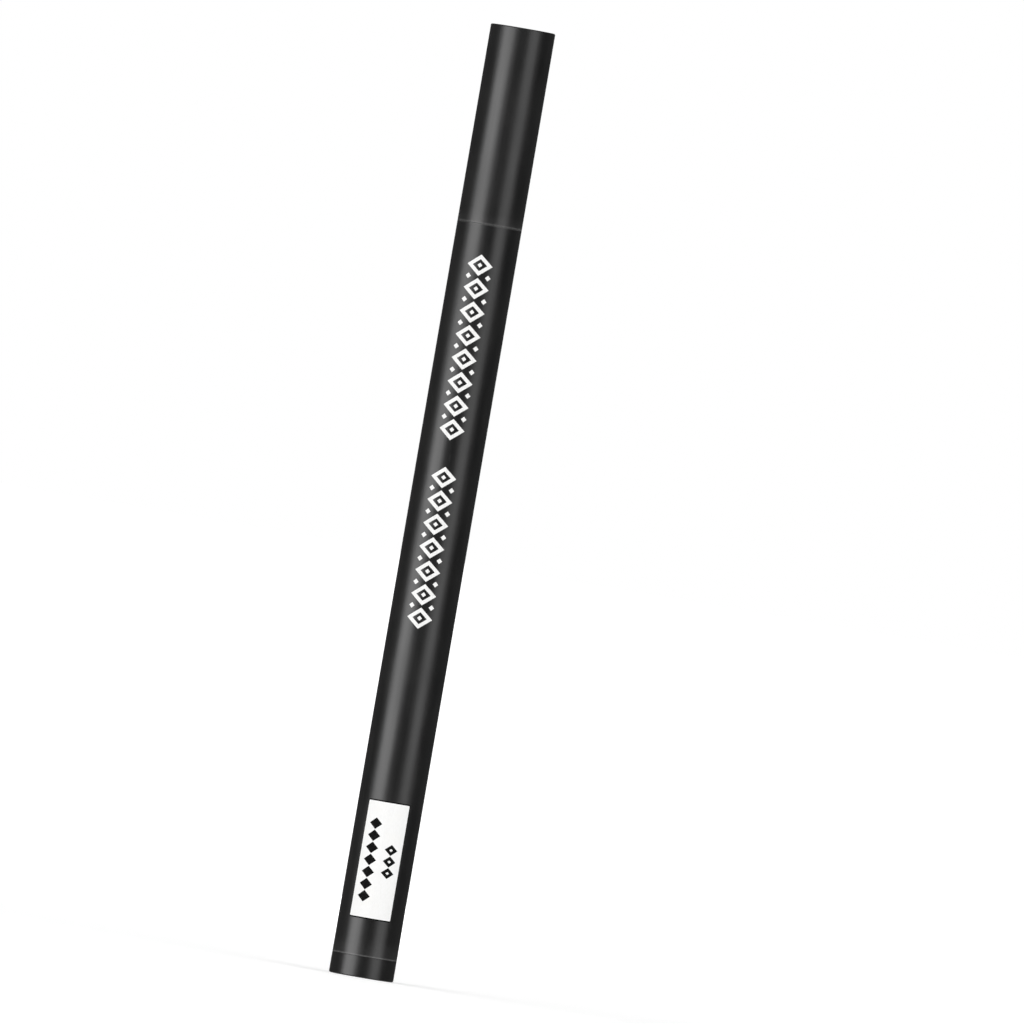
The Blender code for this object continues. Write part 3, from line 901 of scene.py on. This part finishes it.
def smooth_shares(points, steps):
    """A smooth curve through the points, with this many steps between two of them."""
    curve = []
    for i in range(len(points) - 1):
        before, a = points[max(i - 1, 0)], points[i]
        b, after = points[i + 1], points[min(i + 2, len(points) - 1)]
        for step in range(steps):
            t = step / steps
            curve.append(
                tuple(
                    ((2 * q) + (r - p) * t + (2 * p - 5 * q + 4 * r - s) * t * t
                     + (3 * q - p - 3 * r + s) * t * t * t) / 2
                    for p, q, r, s in zip(before, a, b, after)
                )
            )
    curve.append(points[-1])
    return curve


def make_nib(fibre):
    """The fibre rod: its tail sits in the reservoir, and its point is soft and a little fuzzy."""
    exposed = NIB_TIP_Z - NOSE_TOP_Z
    outline = [
        (0.0, NIB_TAIL_Z),
        (NIB_R - NIB_TAIL_CHAMFER, NIB_TAIL_Z),
        (NIB_R, NIB_TAIL_Z + NIB_TAIL_CHAMFER),
    ]
    for along, width in smooth_shares(NIB_OUTLINE_SHARES, NIB_STEPS):
        outline.append((NIB_R * width, NOSE_TOP_Z + exposed * along))
    outline[-1] = (NIB_POINT_R, NIB_TIP_Z)
    outline.append((0.0, NIB_TIP_Z))
    nib = turned("nib_rod", outline, fibre, NIB_SIDES)
    for vert in nib.data.vertices:
        if NOSE_TOP_Z < vert.co.z < NIB_TIP_Z:
            reach = math.hypot(vert.co.x, vert.co.y)
            lump = noise.noise(vert.co / NIB_FUZZ_SIZE)
            grow = 1 - NIB_FUZZ * (1 + lump) / 2 / max(reach, NIB_POINT_R)
            vert.co.x *= grow
            vert.co.y *= grow
    settle(nib)
    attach(nib, "pen")
    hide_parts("nib")


def make_cap(plastic):
    """The cap: as thick as the barrel, closed at the top, recessed at the mouth for the shoulder."""
    recess_r = SHOULDER_R + FIT_GAP
    recess_top_z = SHOULDER_TOP_Z + SEAT_GAP
    outline = rounded(
        [
            (BODY_R, CAP_MOUTH_Z, SEAM_EDGE),
            (BODY_R, CAP_TOP_Z, OUTER_EDGE),
            (GATE_DIMPLE_R, CAP_TOP_Z, 0.0),
            (0.0, CAP_CEILING_Z, 0.0),
            (CAP_BORE_R, CAP_CEILING_Z, 0.0),
            (CAP_BORE_R, recess_top_z, 0.0),
            (recess_r, recess_top_z, SHOULDER_FILLET + FIT_GAP),
            (recess_r, CAP_MOUTH_Z, 0.0),
        ]
    )
    top = outline.index((GATE_DIMPLE_R, CAP_TOP_Z))
    outline[top:top + 1] = gate_mark(CAP_TOP_Z, -1)[::-1]
    cap = turned("cap_moulding", outline, plastic)
    rib_start_z = recess_top_z + CAP_RIB_START
    grip_ribs = ribs(
        "cap_grip_ribs",
        CAP_RIB_COUNT,
        CAP_RIB_WIDTH,
        (GRIP_R + FIT_GAP, CAP_BORE_R + CAP_WALL / 2),
        (rib_start_z, rib_start_z + CAP_RIB_LENGTH),
    )
    settle(cap, grip_ribs)
    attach(cap, "cap")
    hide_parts("cap_shell")


def make_cap_liner(soft_plastic):
    """The thimble pressed into the cap that seals round the nose and keeps the nib wet."""
    collar_top_z = LINER_MOUTH_Z + LINER_COLLAR_LENGTH
    liner_end_z = LINER_TOP_Z - LINER_END_WALL
    outline = rounded(
        [
            (LINER_BORE_R, LINER_MOUTH_Z, LINER_WALL / 2),
            (LINER_R, LINER_MOUTH_Z, 0.0),
            (LINER_R, collar_top_z, 0.0),
            (LINER_TUBE_R, collar_top_z, 0.0),
            (LINER_TUBE_R, LINER_TOP_Z, 0.0),
            (0.0, LINER_TOP_Z, 0.0),
            (0.0, liner_end_z, 0.0),
            (LINER_BORE_R, liner_end_z, 0.0),
        ]
    )
    liner = turned("cap_liner_thimble", outline, soft_plastic)
    tube_ribs = ribs(
        "liner_ribs",
        LINER_RIB_COUNT,
        LINER_RIB_WIDTH,
        (LINER_TUBE_R - LINER_WALL / 2, LINER_R - FIT_GAP),
        (collar_top_z - LINER_COLLAR_LENGTH / 2, LINER_TOP_Z - LINER_END_WALL / 2),
    )
    settle(liner, tube_ribs)
    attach(liner, "cap")
    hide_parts("cap_liner")


# Label and print


def wrapped_sheet(name, polygons, radius, thickness, turn, material):
    """A closed sheet of flat polygons, given as (distance round, height), wrapped round the barrel."""
    bm = bmesh.new()
    corners = {}
    for polygon in polygons:
        for point in polygon:
            if point not in corners:
                corners[point] = bm.verts.new((point[0], 0.0, point[1]))
        bm.faces.new([corners[point] for point in polygon])
    slices = math.ceil(max(abs(x) for x, _ in corners) / (radius * WRAP_STEP))
    for i in range(-slices, slices + 1):
        bmesh.ops.bisect_plane(
            bm,
            geom=bm.verts[:] + bm.edges[:] + bm.faces[:],
            plane_co=(i * radius * WRAP_STEP, 0, 0),
            plane_no=(1, 0, 0),
            dist=WELD,
        )
    for vert in bm.verts:
        angle = vert.co.x / radius + turn
        vert.co = (radius * math.sin(angle), -radius * math.cos(angle), vert.co.z)
    sheet = object_from(bm, name, material)
    solidify = sheet.modifiers.new("thickness", "SOLIDIFY")
    solidify.thickness = thickness
    solidify.offset = 1.0
    settle(sheet)
    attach(sheet, "pen")
    return sheet


def lozenge(x, z, half_width, half_length):
    """The corners of a lozenge, from its right one round to the left."""
    return [(x + half_width, z), (x, z + half_length), (x - half_width, z), (x, z - half_length)]


def lozenge_ring(x, z, half_width, half_length, stroke):
    """Four strips between a lozenge and a smaller one inside it."""
    inset = stroke * math.hypot(half_width, half_length)
    outer = lozenge(x, z, half_width, half_length)
    inner = lozenge(x, z, half_width - inset / half_length, half_length - inset / half_width)
    strips = []
    for i in range(len(outer)):
        after = (i + 1) % len(outer)
        strips.append([outer[i], outer[after], inner[after], inner[i]])
    return strips


def label_outline(radius, margin):
    """The label's outline with slightly rounded corners, this much wider on every side."""
    half_width = radius * LABEL_ARC / 2 + margin
    low_z = label_low.z - margin
    high_z = label_high.z + margin
    corner = LABEL_CORNER + margin
    return rounded(
        [
            (-half_width, low_z, corner),
            (half_width, low_z, corner),
            (half_width, high_z, corner),
            (-half_width, high_z, corner),
        ]
    )


def make_label(paper):
    radius = BODY_R + LABEL_GLUE
    outline = label_outline(radius, 0.0)
    label = wrapped_sheet("label_sheet", [outline], radius, LABEL_THICKNESS, LABEL_TURN, paper)
    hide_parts("label")


def make_label_shade_rim(shade_rim_material):
    """A dark sheet of painted shade under the label, which shows as a narrow dark line all round it."""
    radius = BODY_R + SHADE_RIM_LIFT
    outline = label_outline(radius, SHADE_RIM_MARGIN)
    wrapped_sheet("label_shade_rim", [outline], radius, SHADE_RIM_THICKNESS, LABEL_TURN, shade_rim_material)


def row_of(row):
    """The middles, half widths and half lengths of the marks in one row of the label."""
    x, start_z, end_z, width, count = row
    pitch = (end_z - start_z) / count
    for i in range(count):
        yield x, start_z + pitch * (i + 0.5), width / 2, pitch * LABEL_MARK_LENGTH_SHARE / 2


def make_label_marks(ink):
    """Plain lozenges in two rows, where a label like this is printed."""
    shapes = [lozenge(*mark) for mark in row_of(LABEL_LONG_ROW)]
    for mark in row_of(LABEL_SHORT_ROW):
        shapes += lozenge_ring(*mark, LABEL_RING_STROKE)
    radius = BODY_R + LABEL_GLUE + LABEL_THICKNESS + MARK_LIFT
    wrapped_sheet("label_marks", shapes, radius, MARK_THICKNESS, LABEL_TURN, ink)


def make_print(ink):
    """Two runs of a lozenge chain, printed in white along the barrel."""
    half_width = PRINT_WIDTH / 2
    for number, (start_z, end_z, count) in enumerate(PRINT_RUNS, start=1):
        pitch = (end_z - start_z) / count
        half_length = (pitch - PRINT_TIP_GAP) / 2
        shapes = []
        for i in range(count):
            z = start_z + pitch * (i + 0.5)
            shapes += lozenge_ring(0.0, z, half_width, half_length, PRINT_STROKE)
            shapes.append(lozenge(0.0, z, PRINT_CORE, PRINT_CORE))
        for i in range(1, count):
            for side in (-1, 1):
                x = side * (half_width - PRINT_TICK)
                shapes.append(lozenge(x, start_z + pitch * i, PRINT_TICK, PRINT_TICK))
        radius = BODY_R + PRINT_LIFT
        wrapped_sheet(f"barrel_print_{number}", shapes, radius, PRINT_THICKNESS, PRINT_TURN, ink)


# Studio


def white_to_the_eye(tree):
    """1 where a surface is seen, directly, in gloss or through glass, and 0 for the light it sends out."""
    path = tree.nodes.new("ShaderNodeLightPath")
    seen = maths(
        tree, "MAXIMUM", path.outputs["Is Camera Ray"], path.outputs["Is Glossy Ray"]
    )
    return maths(tree, "MAXIMUM", seen, path.outputs["Is Transmission Ray"])


def white_background(tree, strength):
    """White light of this strength from all round."""
    node = tree.nodes.new("ShaderNodeBackground")
    node.inputs["Color"].default_value = (1.0, 1.0, 1.0, 1.0)
    node.inputs["Strength"].default_value = strength
    return node.outputs["Background"]


def make_world():
    """White to the eye, and a dim even fill for everything else."""
    world = bpy.data.worlds.new("studio")
    world.use_nodes = True
    bpy.context.scene.world = world
    tree = world.node_tree
    tree.nodes.clear()
    mix = tree.nodes.new("ShaderNodeMixShader")
    output = tree.nodes.new("ShaderNodeOutputWorld")
    tree.links.new(white_to_the_eye(tree), mix.inputs["Fac"])
    tree.links.new(white_background(tree, FILL_LIGHT), mix.inputs[1])
    tree.links.new(white_background(tree, 1.0), mix.inputs[2])
    tree.links.new(mix.outputs["Shader"], output.inputs["Surface"])


def make_floor():
    """A plain pale floor that keeps the pen's shadow and fades into the white background."""
    material, tree, shader = new_material("pale_floor")
    tree.nodes.remove(shader)
    paint = tree.nodes.new("ShaderNodeBsdfDiffuse")
    paint.inputs["Color"].default_value = (*FLOOR_COLOUR, 1.0)
    length = tree.nodes.new("ShaderNodeVectorMath")
    length.operation = "LENGTH"
    tree.links.new(place_on_piece(tree), length.inputs[0])
    away = length.outputs["Value"]
    own_light = ranged(tree, away, FLOOR_NEAR, FLOOR_FAR, FLOOR_NEAR_LIGHT, FLOOR_FAR_LIGHT)
    glow = tree.nodes.new("ShaderNodeEmission")
    tree.links.new(maths(tree, "MULTIPLY", own_light, white_to_the_eye(tree)), glow.inputs["Strength"])
    both = tree.nodes.new("ShaderNodeAddShader")
    tree.links.new(paint.outputs["BSDF"], both.inputs[0])
    tree.links.new(glow.outputs["Emission"], both.inputs[1])
    tree.links.new(both.outputs["Shader"], tree.nodes["Material Output"].inputs["Surface"])
    bm = bmesh.new()
    bmesh.ops.create_grid(bm, x_segments=1, y_segments=1, size=FLOOR_SIZE / 2)
    floor = object_from(bm, "floor", material)
    floor.location.z = -FLOOR_DROP
    # The standing lamps reach below the floor, so that their streaks run down to the pen's foot
    floor.visible_shadow = False
    floor.visible_glossy = False


def make_dark_surround():
    """Studio flags all round, seen only in gloss. They are dark in front, and paler behind and below."""
    material, tree, shader = new_material("dark_flag")
    tree.nodes.remove(shader)
    place = axes_of(tree)
    glow = tree.nodes.new("ShaderNodeEmission")
    own_light = ranged(
        tree,
        place["Y"],
        SURROUND_FRONT_Y,
        SURROUND_BACK_Y,
        SURROUND_FRONT_LIGHT,
        SURROUND_BACK_LIGHT,
    )
    from_below = ranged(
        tree, place["Z"], SURROUND_BOTTOM_Z, SURROUND_SIDE_Z, SURROUND_BOTTOM_LIGHT, 0.0
    )
    tree.links.new(maths(tree, "ADD", own_light, from_below), glow.inputs["Strength"])
    tree.links.new(glow.outputs["Emission"], tree.nodes["Material Output"].inputs["Surface"])
    bm = bmesh.new()
    bmesh.ops.create_cone(
        bm,
        cap_ends=True,
        segments=SURROUND_SIDES,
        radius1=SURROUND_RADIUS,
        radius2=SURROUND_RADIUS,
        depth=2 * SURROUND_RADIUS,
    )
    surround = object_from(bm, "dark_surround", material)
    surround.visible_camera = False
    surround.visible_diffuse = False
    surround.visible_shadow = False
    surround.visible_transmission = False
    surround.visible_volume_scatter = False


def make_lamp(name, place, target, radiance, width, height):
    """A soft rectangular lamp that faces its target and doesn't show itself in the picture."""
    data = bpy.data.lights.new(name, "AREA")
    data.shape = "RECTANGLE"
    data.size = width
    data.size_y = height
    data.energy = radiance * WATTS_PER_RADIANCE * width * height
    lamp = add_object(name, data)
    lamp.location = place
    lamp.rotation_mode = "QUATERNION"
    lamp.rotation_quaternion = (Vector(target) - Vector(place)).to_track_quat("-Z", "Y")
    lamp.visible_camera = False
    return lamp


def make_lamps():
    """The lamps that stand round the pen, and the one overhead."""
    for name, bearing, radiance, width, distance, in_gloss in STANDING_LAMPS:
        target = (0.0, 0.0, STANDING_LAMP_Z)
        place = (distance * math.sin(bearing), -distance * math.cos(bearing), STANDING_LAMP_Z)
        lamp = make_lamp(name, place, target, radiance, width, STANDING_LAMP_HEIGHT)
        lamp.visible_glossy = in_gloss
    name, radiance, width, depth, top_z = TOP_LAMP
    make_lamp(name, (0.0, 0.0, top_z), (0.0, 0.0, 0.0), radiance, width, depth)


def make_camera():
    """A long lens that looks along +Y, rolled and placed so that the pen lies as in the photograph."""
    across = TOP_PIXEL[0] - FOOT_PIXEL[0]
    upward = FOOT_PIXEL[1] - TOP_PIXEL[1]
    roll = math.atan2(across, upward)
    metres_per_pixel = CAP_TOP_Z / math.hypot(across, upward)
    distance = metres_per_pixel * PHOTO_SIZE * CAMERA_LENS / CAMERA_SENSOR
    right = Vector((math.cos(roll), 0.0, math.sin(roll)))
    up = Vector((-math.sin(roll), 0.0, math.cos(roll)))
    back = Vector((0.0, -1.0, 0.0))
    right_of_centre = (FOOT_PIXEL[0] + TOP_PIXEL[0] - PHOTO_SIZE) / 2 * metres_per_pixel
    above_centre = (PHOTO_SIZE - FOOT_PIXEL[1] - TOP_PIXEL[1]) / 2 * metres_per_pixel
    middle = Vector((0.0, 0.0, CAP_TOP_Z / 2))
    place = middle + back * distance - right * right_of_centre - up * above_centre
    data = bpy.data.cameras.new("camera")
    data.lens = CAMERA_LENS
    data.sensor_width = CAMERA_SENSOR
    data.clip_start = CAMERA_NEAR
    data.clip_end = CAMERA_FAR
    camera = add_object("camera", data)
    axes = Matrix((right, up, back)).transposed()
    camera.matrix_world = Matrix.Translation(place) @ axes.to_4x4()
    bpy.context.scene.camera = camera


def main():
    clear_startup_objects()
    bpy.context.scene.view_settings.view_transform = "Standard"
    # Painted highlights along the barrel's and cap's seams: pale lines at the edges and a fainter
    # brightening beside them
    barrel_painted_light = (
        (BARREL_START_Z + SEAM_CATCH, HIGHLIGHT_LINE, HIGHLIGHT_LINE_FLAT_SHARE, BASE_LINE_SHARE),
        (BARREL_START_Z, BASE_BRIGHTENING_REACH, BRIGHTENING_FLAT_SHARE, BRIGHTENING_SHARE),
        (RIM_Z, HIGHLIGHT_LINE, HIGHLIGHT_LINE_FLAT_SHARE, RIM_LINE_SHARE),
    )
    cap_painted_light = (
        (CAP_MOUTH_Z + SEAM_CATCH, HIGHLIGHT_LINE, HIGHLIGHT_LINE_FLAT_SHARE, CAP_LINE_SHARE),
        (CAP_MOUTH_Z, CAP_BRIGHTENING_REACH, BRIGHTENING_FLAT_SHARE, BRIGHTENING_SHARE),
    )
    make_end_plug(satin_plastic("plug_plastic"))
    make_barrel(satin_plastic("barrel_plastic", barrel_painted_light))
    make_front_section(satin_plastic("section_plastic", (), SECTION_ROUGHNESS, SECTION_IOR))
    make_cap(satin_plastic("cap_plastic", cap_painted_light))
    make_nib(inked_fibre("nib_fibre"))
    make_cap_liner(soft_liner_plastic("liner_soft_plastic"))
    # A dark rim of painted shade round the label
    make_label_shade_rim(painted_shade_rim("label_painted_shade_rim"))
    make_label(label_paper("label_white_paper"))
    make_label_marks(printing_ink("label_black_ink", *LABEL_INK))
    make_print(printing_ink("barrel_white_ink", *BARREL_INK))
    finish_kept_node("reservoir_core", inked_fibre("reservoir_fibre"))
    finish_kept_node("reservoir_film", clear_film("reservoir_clear_film"))
    make_floor()
    make_dark_surround()
    make_world()
    make_lamps()
    make_camera()


main()
